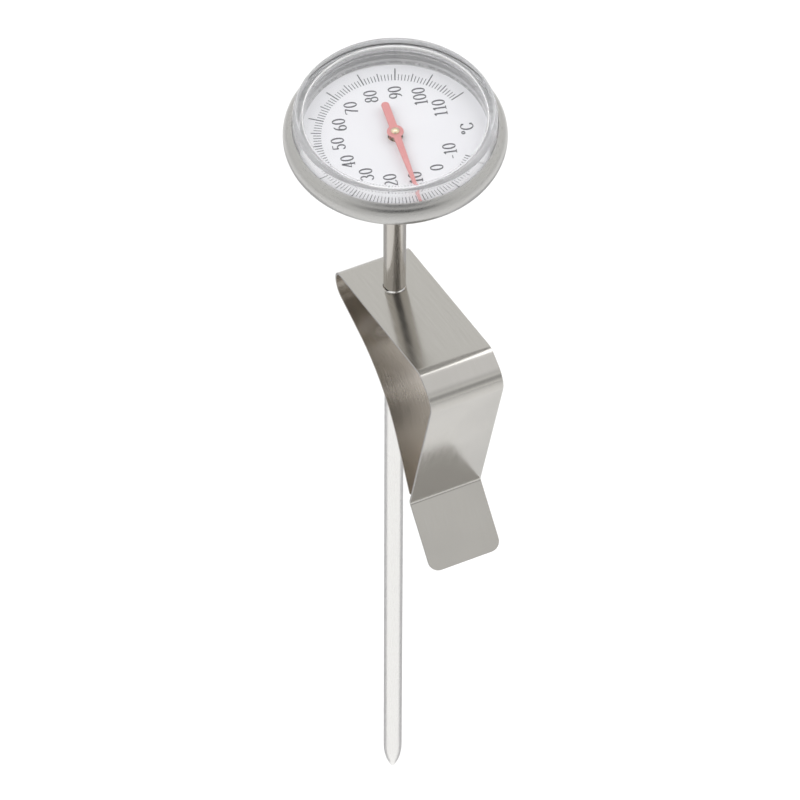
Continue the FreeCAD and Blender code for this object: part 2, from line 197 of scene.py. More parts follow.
# drawn and spun stainless: hundreds of fine scratches round or along the piece, seen as a satin band
def satinSteel(name, look):
    material, tree, shader = newMaterial(name, {
        "Base Color": linear(look["colour"]), "Metallic": 1.0, "Roughness": look["roughness"],
        "Anisotropic": look["anisotropic"]})
    place = addNode(tree, "TexCoord").outputs["Object"]
    split = addNode(tree, "SeparateXYZ", {"Vector": place})
    around = addNode(tree, "Math", {0: split.outputs["Y"], 1: split.outputs["X"]}, operation="ARCTAN2")
    squares = addNode(tree, "VectorMath", {0: place, 1: (1, 1, 0)}, operation="MULTIPLY")
    radius = addNode(tree, "VectorMath", {0: squares.outputs[0]}, operation="LENGTH")
    if look["lay"] == "round":
        parts = {"X": radius.outputs["Value"], "Y": split.outputs["Z"]}
        slow = addNode(tree, "Math", {0: around.outputs[0], 1: look["lineLength"]}, operation="MULTIPLY")
        parts["Z"] = slow.outputs[0]
    else:
        fast = addNode(tree, "Math", {0: around.outputs[0], 1: look["partRadius"]}, operation="MULTIPLY")
        slow = addNode(tree, "Math", {0: split.outputs["Z"], 1: look["lineLength"]}, operation="MULTIPLY")
        parts = {"X": fast.outputs[0], "Y": radius.outputs["Value"], "Z": slow.outputs[0]}
    lines = addNode(tree, "CombineXYZ", parts)
    grain = addNode(tree, "TexNoise", {
        "Vector": lines.outputs[0], "Scale": 1 / look["linePitch"], "Detail": 3.0, "Roughness": 0.6})
    clouds = addNode(tree, "TexNoise", {"Vector": place, "Scale": 1 / look["cloudSize"], "Detail": 2.0})
    worn = addNode(tree, "MapRange", {
        "Value": grain.outputs["Fac"], "From Min": 0.3, "From Max": 0.7,
        "To Min": look["roughness"] - 0.06, "To Max": look["roughness"] + 0.08})
    hazed = addNode(tree, "MapRange", {
        "Value": clouds.outputs["Fac"], "From Min": 0.3, "From Max": 0.7, "To Min": 0.9, "To Max": 1.12})
    rough = addNode(tree, "Math", {0: worn.outputs[0], 1: hazed.outputs[0]}, operation="MULTIPLY")
    tone = addNode(tree, "MixRGB", {
        "Fac": grain.outputs["Fac"], "Color1": linear(look["darkLine"]), "Color2": linear(look["colour"])})
    bump = addNode(tree, "Bump", {
        "Height": grain.outputs["Fac"], "Strength": look["bump"], "Distance": look["lineDepth"]})
    tangent = addNode(tree, "Tangent", direction_type="RADIAL", axis="Z")
    feed(tree, shader, Base_Color=tone.outputs[0], Roughness=rough.outputs[0],
         Normal=bump.outputs[0], Tangent=tangent.outputs[0])
    return material


spunLook = {
    "colour": "C9C8C6", "darkLine": "B4B3B1", "roughness": 0.30, "anisotropic": 0.55, "lay": "round",
    "linePitch": 0.12 * mm, "lineLength": 0.002, "cloudSize": 9 * mm, "bump": 0.10, "lineDepth": 0.01 * mm}
drawnLook = {
    "colour": "EDECEA", "darkLine": "E0DFDD", "roughness": 0.27, "anisotropic": 0.35, "lay": "long",
    "partRadius": 2.0 * mm, "linePitch": 0.10 * mm, "lineLength": 0.02, "cloudSize": 14 * mm,
    "bump": 0.08, "lineDepth": 0.008 * mm}
# the neck's steel is a darker, warmer copy of the stem's drawn steel: the darker, warmer tone is painted
# shade under the head
neckPaintedShadeLook = dict(drawnLook, colour="CBC7C1", darkLine="B5B0A9", roughness=0.2, partRadius=2.3 * mm)


# cold-rolled spring strip: nearly a mirror, with faint rolling lines along its length
def rolledSpringSteel(name, look):
    material, tree, shader = newMaterial(name, {
        "Base Color": linear(look["colour"]), "Metallic": 1.0, "Roughness": look["roughness"],
        "Anisotropic": look["anisotropic"]})
    place = addNode(tree, "TexCoord").outputs["Object"]
    stretched = addNode(tree, "Mapping", {
        "Vector": place, "Scale": (1.0, look["lineLength"], look["lineLength"])})
    grain = addNode(tree, "TexNoise", {
        "Vector": stretched.outputs[0], "Scale": 1 / look["linePitch"], "Detail": 4.0, "Roughness": 0.65})
    smears = addNode(tree, "TexNoise", {"Vector": place, "Scale": 1 / look["smearSize"], "Detail": 3.0})
    worn = addNode(tree, "MapRange", {
        "Value": grain.outputs["Fac"], "From Min": 0.3, "From Max": 0.7,
        "To Min": look["roughness"] - 0.04, "To Max": look["roughness"] + 0.05})
    handled = addNode(tree, "MapRange", {
        "Value": smears.outputs["Fac"], "From Min": 0.4, "From Max": 0.75, "To Min": 0.85, "To Max": 1.3})
    rough = addNode(tree, "Math", {0: worn.outputs[0], 1: handled.outputs[0]}, operation="MULTIPLY")
    tone = addNode(tree, "MixRGB", {
        "Fac": grain.outputs["Fac"], "Color1": linear(look["darkLine"]), "Color2": linear(look["colour"])})
    bump = addNode(tree, "Bump", {
        "Height": grain.outputs["Fac"], "Strength": look["bump"], "Distance": look["lineDepth"]})
    tangent = addNode(tree, "Tangent", direction_type="RADIAL", axis="X")
    feed(tree, shader, Base_Color=tone.outputs[0], Roughness=rough.outputs[0],
         Normal=bump.outputs[0], Tangent=tangent.outputs[0])
    return material


stripLook = {
    "colour": "CAC8C4", "darkLine": "BAB7B2", "roughness": 0.16, "anisotropic": 0.25,
    "linePitch": 0.18 * mm, "lineLength": 0.02, "smearSize": 11 * mm, "bump": 0.05, "lineDepth": 0.008 * mm}
# the fold's lower half and the leaf are duller, and their paler, warmer colour is painted light: the warm
# light bounced about inside the fold
leafPaintedBounceLook = dict(stripLook, colour="DED8D1", darkLine="D0C8C0", roughness=0.21, anisotropic=0.0)


# moulded acrylic: clear and polished, with the faint ripple that moulding leaves
def mouldedAcrylic(name, look):
    material, tree, shader = newMaterial(name, {
        "Base Color": linear(look["colour"]), "Roughness": look["roughness"], "IOR": look["ior"],
        "Transmission Weight": 1.0})
    place = addNode(tree, "TexCoord").outputs["Object"]
    ripple = addNode(tree, "TexNoise", {"Vector": place, "Scale": 1 / look["rippleSize"], "Detail": 1.0})
    bump = addNode(tree, "Bump", {
        "Height": ripple.outputs["Fac"], "Strength": look["bump"], "Distance": look["rippleDepth"]})
    feed(tree, shader, Normal=bump.outputs[0])
    # light for the dial passes straight through, so the face below is evenly lit
    clear = addNode(tree, "BsdfTransparent", {"Color": linear(look["shadow"])})
    milk = addNode(tree, "BsdfDiffuse", {"Color": linear(look["milk"])})
    body = addNode(tree, "MixShader", {0: look["haze"], 1: shader.outputs[0], 2: milk.outputs[0]})
    path = addNode(tree, "LightPath")
    straight = addNode(tree, "Math", {
        0: path.outputs["Is Shadow Ray"], 1: path.outputs["Is Diffuse Ray"]}, operation="MAXIMUM")
    mix = addNode(tree, "MixShader", {0: straight.outputs[0], 1: body.outputs[0], 2: clear.outputs[0]})
    tree.links.new(mix.outputs[0], tree.nodes["Material Output"].inputs["Surface"])
    return material


acrylicLook = {
    "colour": "FEFEFE", "roughness": 0.03, "ior": 1.49, "rippleSize": 6 * mm, "rippleDepth": 0.02 * mm,
    "bump": 0.05, "shadow": "F6F6F7", "milk": "F4F4F6", "haze": 0.0}
# the side wall keeps the mould's finer tooling marks, so it is milky against the clear top
wallLook = dict(acrylicLook, roughness=0.02, rippleSize=1.2 * mm, bump=0.04, haze=0.17)


# paint, enamel, rubber and turned brass share one build: a tone that varies a little, grain and a soft bump
def coatedSurface(name, look):
    material, tree, shader = newMaterial(name, {
        "Base Color": linear(look["colour"]), "Metallic": look.get("metallic", 0.0),
        "Roughness": look["roughness"], "Coat Weight": look.get("coat", 0.0)})
    place = addNode(tree, "TexCoord").outputs["Object"]
    grain = addNode(tree, "TexNoise", {
        "Vector": place, "Scale": 1 / look["grainSize"], "Detail": 4.0, "Roughness": 0.55})
    clouds = addNode(tree, "TexNoise", {"Vector": place, "Scale": 1 / look["cloudSize"], "Detail": 2.0})
    tone = addNode(tree, "MixRGB", {
        "Fac": clouds.outputs["Fac"], "Color1": linear(look["shade"]), "Color2": linear(look["colour"])})
    rough = addNode(tree, "MapRange", {
        "Value": grain.outputs["Fac"], "From Min": 0.3, "From Max": 0.7,
        "To Min": look["roughness"] - look["spread"], "To Max": look["roughness"] + look["spread"]})
    bump = addNode(tree, "Bump", {
        "Height": grain.outputs["Fac"], "Strength": look["bump"], "Distance": look["grainDepth"]})
    feed(tree, shader, Base_Color=tone.outputs[0], Roughness=rough.outputs[0], Normal=bump.outputs[0])
    return material


coatLooks = {
    # baked enamel on aluminium: white, satin, with a faint orange peel
    "whiteDialEnamel": {"colour": "E9E9EB", "shade": "E4E4E7", "roughness": 0.38, "spread": 0.04,
                        "grainSize": 0.35 * mm, "cloudSize": 8 * mm, "grainDepth": 0.01 * mm, "bump": 0.12},
    # screen-printed ink: dark grey, dry, with a slightly broken edge tone
    "printedInk": {"colour": "4A4B50", "shade": "5A5B60", "roughness": 0.62, "spread": 0.08,
                   "grainSize": 0.15 * mm, "cloudSize": 2 * mm, "grainDepth": 0.005 * mm, "bump": 0.15},
    # sprayed red lacquer on a stamped hand: satin, a little uneven at its edges; its red is paled to pink, a
    # painted reflection of the lens's milky haze
    "redLacquerPaintedHaze": {"colour": "D98C8B", "shade": "D08280", "roughness": 0.36, "spread": 0.05, "coat": 0.3,
                   "grainSize": 0.25 * mm, "cloudSize": 3 * mm, "grainDepth": 0.01 * mm, "bump": 0.15},
    # turned brass: pale and bright, with turning rings too fine to see singly
    "turnedBrass": {"colour": "F2E2C4", "shade": "E8D2AC", "roughness": 0.24, "spread": 0.06,
                    "metallic": 1.0, "grainSize": 0.12 * mm, "cloudSize": 2 * mm,
                    "grainDepth": 0.006 * mm, "bump": 0.12},
    # moulded silicone: milky and soft, never shiny
    "whiteSilicone": {"colour": "E4E5E4", "shade": "DADBDA", "roughness": 0.55, "spread": 0.06,
                      "grainSize": 0.3 * mm, "cloudSize": 5 * mm, "grainDepth": 0.01 * mm, "bump": 0.2},
    # moulded nitrile rubber: black with a dusty bloom
    "blackRubber": {"colour": "26262A", "shade": "1C1C1F", "roughness": 0.6, "spread": 0.1,
                    "grainSize": 0.2 * mm, "cloudSize": 3 * mm, "grainDepth": 0.015 * mm, "bump": 0.3},
    # rolled bimetal ribbon: dull grey-brown metal
    "rolledBimetal": {"colour": "A59C8E", "shade": "8F877B", "roughness": 0.4, "spread": 0.08,
                      "metallic": 1.0, "grainSize": 0.15 * mm, "cloudSize": 2 * mm,
                      "grainDepth": 0.006 * mm, "bump": 0.2},
    # sheared edge of punched strip: dull and darker than the rolled face; on the slot's walls and bevels its
    # dark colour is also painted shade of the gap round the probe
    "shearedEdgeAndPaintedShade": {"colour": "6A6865", "shade": "5A5855", "roughness": 0.45, "spread": 0.08,
                    "metallic": 1.0, "grainSize": 0.08 * mm, "cloudSize": 1 * mm,
                    "grainDepth": 0.01 * mm, "bump": 0.3},
    # cloth flags beside the floor's middle: mid grey, so that round steel shows its edges
    "greyFlag": {"colour": "B2B2B4", "shade": "ACACAE", "roughness": 0.9, "spread": 0.03,
                 "grainSize": 1 * mm, "cloudSize": 60 * mm, "grainDepth": 0.05 * mm, "bump": 0.1},
    # painted studio sweep: matt and nearly white
    "studioFloor": {"colour": "F6F6F6", "shade": "F4F4F4", "roughness": 0.7, "spread": 0.03,
                    "grainSize": 4 * mm, "cloudSize": 200 * mm, "grainDepth": 0.02 * mm, "bump": 0.05}}

spunSteel = satinSteel("spunStainless", spunLook)
drawnSteel = satinSteel("drawnStainless", drawnLook)
neckPaintedShadeSteel = satinSteel("drawnStainlessNeckPaintedShade", neckPaintedShadeLook)
springSteel = rolledSpringSteel("rolledSpringSteel", stripLook)
leafPaintedBounceSteel = rolledSpringSteel("rolledSpringSteelDullPaintedBounce", leafPaintedBounceLook)
acrylic = mouldedAcrylic("mouldedAcrylic", acrylicLook)
hazedAcrylic = mouldedAcrylic("mouldedAcrylicHazed", wallLook)
coats = {name: coatedSurface(name, look) for name, look in coatLooks.items()}
print("materials made")

nodeMaterials = {
    "case_cup": spunSteel, "bezel_ring": spunSteel, "lens": acrylic, "lens_gasket": coats["whiteSilicone"],
    "dial_plate": coats["whiteDialEnamel"], "pointer": coats["redLacquerPaintedHaze"],
    "pointer_hub": coats["turnedBrass"], "spindle": drawnSteel, "upper_guide": coats["turnedBrass"],
    "lower_guide": coats["turnedBrass"], "coil_collet": coats["turnedBrass"],
    "coil_anchor": coats["turnedBrass"], "bimetal_coil": coats["rolledBimetal"], "stem_tube": drawnSteel,
    "tip_plug": drawnSteel, "neck_sleeve": neckPaintedShadeSteel, "seal_washer": coats["blackRubber"],
    "stem_bush": coats["turnedBrass"], "clip_front_leaf": springSteel, "clip_back_leaf": springSteel}
for name, material in nodeMaterials.items():
    nodes[name].data.materials.clear()
    nodes[name].data.materials.append(material)

# places that the pieces share, all from the frame
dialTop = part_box("dial_plate")[1].z
lensLow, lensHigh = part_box("lens")
clipLow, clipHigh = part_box("clip_front_leaf")
pointerLow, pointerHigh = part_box("pointer")

lens = {"rise": 6.5 * mm, "flangeLow": 1.3 * mm, "flangeThick": 0.9 * mm, "wallOut": 20.15 * mm,
        "wallIn": 18.4 * mm, "roof": 1.4 * mm, "shoulder": 1.0 * mm, "innerFillet": 0.45 * mm,
        "edge": 0.12 * mm}
# the widest circle of the head, from which the head and the clip are measured
headLevel = lensHigh.z - lens["rise"]


def makeLens(o):
    roofUnder = lensHigh.z - o["roof"]
    flangeLow = headLevel + o["flangeLow"]
    flangeTop = flangeLow + o["flangeThick"]
    flange, edge = lensHigh.x, o["edge"]
    outline = [
        (0, roofUnder, 0), (o["wallIn"], roofUnder, o["innerFillet"]), (o["wallIn"], lensLow.z, edge),
        (o["wallOut"], lensLow.z, edge), (o["wallOut"], flangeLow, edge), (flange, flangeLow, edge),
        (flange, flangeTop, edge), (o["wallOut"], flangeTop, edge),
        (o["wallOut"], lensHigh.z, o["shoulder"]), (0, lensHigh.z, 0)]
    points = roundedLine(outline, closed=True, steps=6)
    piece = lathe("clearLens", [tuple(p) for p in points], acrylic, "thermometer", segments=256)
    piece.data.materials.append(hazedAcrylic)
    for polygon in piece.data.polygons:
        if polygon.center.xy.length > o["wallIn"] - o["innerFillet"]:
            polygon.material_index = 1
    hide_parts("lens")


makeLens(lens)
print("lens turned")

ring = {"sideCurve": 3.5 * mm, "skin": 0.5 * mm, "underSweep": 60, "lipSweep": 58, "steps": 36}


def makeRing(o):
    low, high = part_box("bezel_ring")
    outer = min(high.x, -low.x)
    centre = outer - o["sideCurve"]
    angles = [math.radians(-o["underSweep"] + (o["underSweep"] + o["lipSweep"]) * i / o["steps"])
              for i in range(o["steps"] + 1)]
    outside = [(centre + o["sideCurve"] * math.cos(a), headLevel + o["sideCurve"] * math.sin(a))
               for a in angles]
    inside = o["sideCurve"] - o["skin"]
    back = [(centre + inside * math.cos(a), headLevel + inside * math.sin(a)) for a in reversed(angles)]
    # the rolled edges are rounded over half the sheet's thickness
    half = o["skin"] / 2
    middle = o["sideCurve"] - half
    ends = []
    for angle, direction in ((angles[-1], 1), (angles[0], -1)):
        cx, cz = centre + middle * math.cos(angle), headLevel + middle * math.sin(angle)
        across = Vector((math.cos(angle), math.sin(angle)))
        along = Vector((-math.sin(angle), math.cos(angle))) * direction
        cap = []
        for k in range(1, 6):
            t = math.pi * k / 6
            offset = across * half * math.cos(t) * direction + along * half * math.sin(t) * 0.5
            cap.append((cx + offset.x, cz + offset.y))
        ends.append(cap)
    outline = outside + ends[0] + back + ends[1]
    piece = lathe("bezelRing", outline, spunSteel, "thermometer", segments=256, smooth=50)
    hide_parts("bezel_ring")


makeRing(ring)
print("bezel ring rolled")

dial = {"low": -10, "high": 110, "middle": 50, "degreesPer": 2.5, "up": 165.8, "reading": 11.7,
        "tickIn": 14.55 * mm, "tickOut": {1: 16.1 * mm, 5: 16.6 * mm, 10: 17.65 * mm},
        "tickWidth": {1: 0.15 * mm, 5: 0.19 * mm, 10: 0.24 * mm}, "inkThick": 0.02 * mm,
        "figureRing": 11.4 * mm, "figureHeight": 2.7 * mm, "unitRing": 14.3 * mm, "unitTurn": -2}


def dialAngle(temperature):
    return math.radians(dial["up"] - (temperature - dial["middle"]) * dial["degreesPer"])


inkLow, inkHigh = dialTop - dial["inkThick"] / 4, dialTop + dial["inkThick"]


def inkSolid(flat, vertices, faces):
    # raises a flat convex outline into a film of ink on the dial
    base = len(vertices)
    count = len(flat)
    for height in (inkLow, inkHigh):
        vertices.extend((p.x, p.y, height) for p in flat)
    faces.append([base + k for k in reversed(range(count))])
    faces.append([base + count + k for k in range(count)])
    for k in range(count):
        j = (k + 1) % count
        faces.append([base + k, base + j, base + count + j, base + count + k])


def makeTicks(o):
    vertices, faces = [], []
    for temperature in range(o["low"], o["high"] + 1):
        rank = 10 if temperature % 10 == 0 else 5 if temperature % 5 == 0 else 1
        angle = dialAngle(temperature)
        out = Vector((math.cos(angle), math.sin(angle)))
        side = Vector((-out.y, out.x)) * o["tickWidth"][rank] / 2
        inner, outer = out * o["tickIn"], out * o["tickOut"][rank]
        inkSolid([inner - side, outer - side, outer + side, inner + side], vertices, faces)
    makePiece("dialTicks", vertices, faces, coats["printedInk"], "thermometer")


makeTicks(dial)


def curve(cx, cy, rx, ry, start, end, steps=14):
    turns = [math.radians(start + (end - start) * i / steps) for i in range(steps + 1)]
    return [(cx + rx * math.cos(t), cy + ry * math.sin(t)) for t in turns]


# each figure is a few pen strokes in a box one unit high
strokes = {
    "0": [curve(0.28, 0.5, 0.21, 0.46, 0, 360, 28)],
    "1": [[(0.12, 0.84), (0.2, 0.88), (0.29, 0.96)], [(0.29, 0.96), (0.29, 0.04)],
          [(0.13, 0.03), (0.45, 0.03)]],
    "2": [curve(0.27, 0.72, 0.19, 0.24, 170, -30) + [(0.07, 0.06)],
          [(0.07, 0.05), (0.48, 0.05), (0.5, 0.16)]],
    "3": [curve(0.25, 0.74, 0.18, 0.22, 155, -80), curve(0.25, 0.28, 0.21, 0.25, 80, -155)],
    "4": [[(0.37, 0.96), (0.06, 0.3), (0.52, 0.3)], [(0.37, 0.96), (0.37, 0.04)],
          [(0.24, 0.03), (0.48, 0.03)]],
    "5": [[(0.46, 0.94), (0.15, 0.94), (0.13, 0.52)], curve(0.26, 0.32, 0.21, 0.29, 125, -155)],
    "6": [curve(0.28, 0.3, 0.2, 0.27, 0, 360, 24), curve(0.46, 0.33, 0.38, 0.62, 100, 180)],
    "7": [[(0.06, 0.86), (0.08, 0.95), (0.5, 0.95)], [(0.5, 0.95), (0.32, 0.5), (0.22, 0.03)]],
    "8": [curve(0.28, 0.74, 0.16, 0.22, 0, 360, 22), curve(0.28, 0.27, 0.2, 0.25, 0, 360, 24)],
    "9": [curve(0.28, 0.7, 0.2, 0.27, 0, 360, 24), curve(0.1, 0.67, 0.38, 0.62, -80, 0)],
    "-": [[(0.08, 0.4), (0.36, 0.4)]],
    "C": [curve(0.36, 0.5, 0.29, 0.46, 40, 320, 24), [(0.58, 0.9), (0.58, 0.72)],
          [(0.58, 0.1), (0.58, 0.28)]],
    "o": [curve(0.16, 0.86, 0.1, 0.12, 0, 360, 14)]}
pen = {"thick": 0.135, "thin": 0.06, "taper": 1.5, "advance": 0.62, "closed": 1e-6,
       "narrow": {"-": 0.44, "1": 0.54, "o": 0.36, "C": 0.7}}


def inkStroke(points, place, vertices, faces):
    # a broad pen: wide where it travels up or down, thin where it travels across
    path = [Vector(point) for point in points]
    loop = (path[0] - path[-1]).length < pen["closed"]
    if loop:
        path.pop()
    count = len(path)
    base = len(vertices)
    for i, point in enumerate(path):
        before = path[i - 1] if loop or i > 0 else point
        after = path[(i + 1) % count] if loop or i < count - 1 else point
        along = (after - before).normalized()
        width = pen["thin"] + (pen["thick"] - pen["thin"]) * abs(along.y) ** pen["taper"]
        side = Vector((-along.y, along.x)) * width / 2
        left, right = place(point - side), place(point + side)
        vertices += [(left.x, left.y, inkLow), (right.x, right.y, inkLow),
                     (right.x, right.y, inkHigh), (left.x, left.y, inkHigh)]
    for i in range(count if loop else count - 1):
        here, there = base + 4 * i, base + 4 * ((i + 1) % count)
        for k in range(4):
            m = (k + 1) % 4
            faces.append([here + k, here + m, there + m, there + k])
    if not loop:
        last = base + 4 * (count - 1)
        faces += [[base + 3, base + 2, base + 1, base], [last, last + 1, last + 2, last + 3]]


def makeFigures(o):
    up = math.radians(o["up"])
    upward = Vector((math.cos(up), math.sin(up)))
    onward = Vector((upward.y, -upward.x))
    labels = [(str(t), dialAngle(t), o["figureRing"]) for t in range(o["low"], o["high"] + 1, 10)]
    labels.append(("oC", math.radians(o["up"] + 180 + o["unitTurn"]), o["unitRing"]))
    vertices, faces = [], []
    for text, angle, ringRadius in labels:
        width = sum(pen["narrow"].get(letter, pen["advance"]) for letter in text)
        middle = Vector((math.cos(angle), math.sin(angle))) * ringRadius
        pen["x"] = -width / 2
        for letter in text:
            left = pen["x"]
            place = lambda p: middle + (onward * (p.x + left) + upward * (p.y - 0.5)) * o["figureHeight"]
            for points in strokes[letter]:
                inkStroke(points, place, vertices, faces)
            pen["x"] += pen["narrow"].get(letter, pen["advance"])
    makePiece("dialFigures", vertices, faces, coats["printedInk"], "thermometer")


makeFigures(dial)
print("dial printed")

hand = {"armReach": 17.5 * mm, "armRoot": 1.5 * mm, "armTip": 0.55 * mm, "tailReach": 7.9 * mm,
        "tailWidth": 1.6 * mm, "boss": 1.65 * mm, "bevel": 0.06 * mm, "sharpOver": 50}


def makeHand(o):
    # one outline round the long arm, the boss and the tail, along +X, then turned to its reading
    armHalf, tailHalf = o["armRoot"] / 2, o["tailWidth"] / 2
    # where the straight sides run into the round boss
    armJoin = math.atan2(armHalf, math.sqrt(o["boss"] ** 2 - armHalf ** 2))
    tailJoin = math.pi - math.atan2(tailHalf, math.sqrt(o["boss"] ** 2 - tailHalf ** 2))
    upper = [(o["armReach"], o["armTip"] / 2)]
    upper += [(o["boss"] * math.cos(a), o["boss"] * math.sin(a))
              for a in [armJoin + (tailJoin - armJoin) * k / 16 for k in range(17)]]
    tailCentre = tailHalf - o["tailReach"]
    upper += [(tailCentre - tailHalf * math.sin(a), tailHalf * math.cos(a))
              for a in [math.pi / 2 * k / 8 for k in range(9)]]
    flat = upper + [(x, -y) for x, y in reversed(upper[:-1])]
    work = bmesh.new()
    rim = [work.verts.new((x, y, pointerLow.z)) for x, y in flat]
    sheet = work.faces.new(rim)
    raised = bmesh.ops.extrude_face_region(work, geom=[sheet])["geom"]
    lift = [v for v in raised if isinstance(v, bmesh.types.BMVert)]
    bmesh.ops.translate(work, verts=lift, vec=(0, 0, pointerHigh.z - pointerLow.z))
    bmesh.ops.rotate(work, verts=work.verts, matrix=Matrix.Rotation(dialAngle(dial["reading"]), 3, "Z"))
    mesh = bpy.data.meshes.new("redHand")
    work.to_mesh(mesh)
    work.free()
    piece = bpy.data.objects.new("redHand", mesh)
    bpy.context.scene.collection.objects.link(piece)
    # the hand's pink is the red lacquer paled by a painted reflection of the lens's haze
    mesh.materials.append(coats["redLacquerPaintedHaze"])
    cleanNormals(mesh)
    edge = piece.modifiers.new("edge", "BEVEL")
    edge.width, edge.segments, edge.angle_limit = o["bevel"], 3, math.radians(o["sharpOver"])
    bakeModifiers(piece)
    smoothBelow(piece.data, 40)
    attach(piece, "movement")
    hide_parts("pointer")


makeHand(hand)
print("hand stamped")

strip = {"width": clipHigh.x - clipLow.x, "thick": 0.5 * mm, "bevel": 0.09 * mm, "plateSlope": 17.2,
         "plateDepth": 47.08 * mm, "foldRadius": 3.1 * mm, "shoulderOut": 29.1 * mm,
         "shoulderRadius": 3.5 * mm, "kneeOut": 35.4 * mm, "kneeDepth": 41.3 * mm, "kneeRadius": 4.1 * mm,
         "jawOut": 25.1 * mm, "creaseRadius": 1.1 * mm, "tabOut": 35.9 * mm, "tabDepth": 95.6 * mm,
         "tabCorner": 2.2 * mm, "leafDepth": 57.77 * mm, "leafFall": 9.3, "leafTurn": 12.3 * mm,
         "leafRadius": 26 * mm, "leafSlope": 30, "leafEnd": 81.9 * mm, "seam": -5.5 * mm,
         "slotWidth": 4.3 * mm, "slotLength": 5.4 * mm, "leafHole": 2.8 * mm, "sharpOver": 55,
         "slotPaintedShadeLean": 0.985}  # cosine of the lean below which a face by the slot, bevels included, takes the dark edge colour as painted shade of the gap


def plateHeight(out):
    return headLevel - strip["plateDepth"] + out * math.tan(math.radians(strip["plateSlope"]))


def leafHeight(out):
    return headLevel - strip["leafDepth"] - out * math.tan(math.radians(strip["leafFall"]))


def weighEdges(mesh):
    # sharp edges are broken, except where one half of the clip's skin meets the other
    work = bmesh.new()
    work.from_mesh(mesh)
    weight = work.edges.layers.float.new("bevel_weight_edge")
    for edge in work.edges:
        sharp = len(edge.link_faces) == 2 and edge.calc_face_angle() > math.radians(strip["sharpOver"])
        atSeam = all(abs(-v.co.y - strip["seam"]) < strip["thick"] / 2 for v in edge.verts)
        edge[weight] = 1.0 if sharp and not atSeam else 0.0
    work.to_mesh(mesh)
    work.free()


def sweptStrip(name, path, cornerRadius, cutters):
    # rows of four points across the sheet; the last rows draw in to round the free corners
    lengths = [0.0]
    for a, b in zip(path, path[1:]):
        lengths.append(lengths[-1] + (b - a).length)
    left, right = bandOutline(path, strip["thick"])
    vertices, faces = [], []
    for run, a, b in zip(lengths, left, right):
        half = strip["width"] / 2
        if run < cornerRadius:
            half -= cornerRadius - math.sqrt(cornerRadius ** 2 - (cornerRadius - run) ** 2)
        vertices += [(-half, -a.x, a.y), (half, -a.x, a.y), (half, -b.x, b.y), (-half, -b.x, b.y)]
    for i in range(len(path) - 1):
        for k in range(4):
            j = (k + 1) % 4
            faces.append([4 * i + k, 4 * i + j, 4 * i + 4 + j, 4 * i + 4 + k])
    last = 4 * (len(path) - 1)
    faces += [[3, 2, 1, 0], [last, last + 1, last + 2, last + 3]]
    piece = makePiece(name, vertices, faces, springSteel, None)
    for cutter in cutters:
        cut = piece.modifiers.new("hole", "BOOLEAN")
        cut.object, cut.operation, cut.solver = cutter, "DIFFERENCE", "EXACT"
    bakeModifiers(piece)
    for cutter in cutters:
        bpy.data.objects.remove(cutter)
    weighEdges(piece.data)
    edge = piece.modifiers.new("edge", "BEVEL")
    edge.width, edge.segments, edge.limit_method = strip["bevel"], 3, "WEIGHT"
    bakeModifiers(piece)
    smoothBelow(piece.data, 35)
    even = piece.modifiers.new("evenNormals", "WEIGHTED_NORMAL")
    even.keep_sharp = True
    bakeModifiers(piece)
    return piece


def slotCutter(name, halfWidth, halfStraight, place, tilt):
    # an upright cutter with a round-ended outline, tilted about X
    outline = []
    for side in (1, -1):
        for k in range(25):
            a = math.pi * k / 24 + (0 if side > 0 else math.pi)
            outline.append((halfWidth * math.cos(a), side * halfStraight + halfWidth * math.sin(a)))
    count = len(outline)
    tall = 2 * mm
    vertices = [(x, y, -tall) for x, y in outline] + [(x, y, tall) for x, y in outline]
    faces = [list(range(count)), list(range(count, 2 * count))]
    faces += [[k, (k + 1) % count, count + (k + 1) % count, count + k] for k in range(count)]
    mesh = bpy.data.meshes.new(name)
    mesh.from_pydata(vertices, [], faces)
    mesh.transform(Matrix.Translation(place) @ Matrix.Rotation(math.radians(tilt), 4, "X"))
    cleanNormals(mesh)
    cutter = bpy.data.objects.new(name, mesh)
    bpy.context.scene.collection.objects.link(cutter)
    return cutter


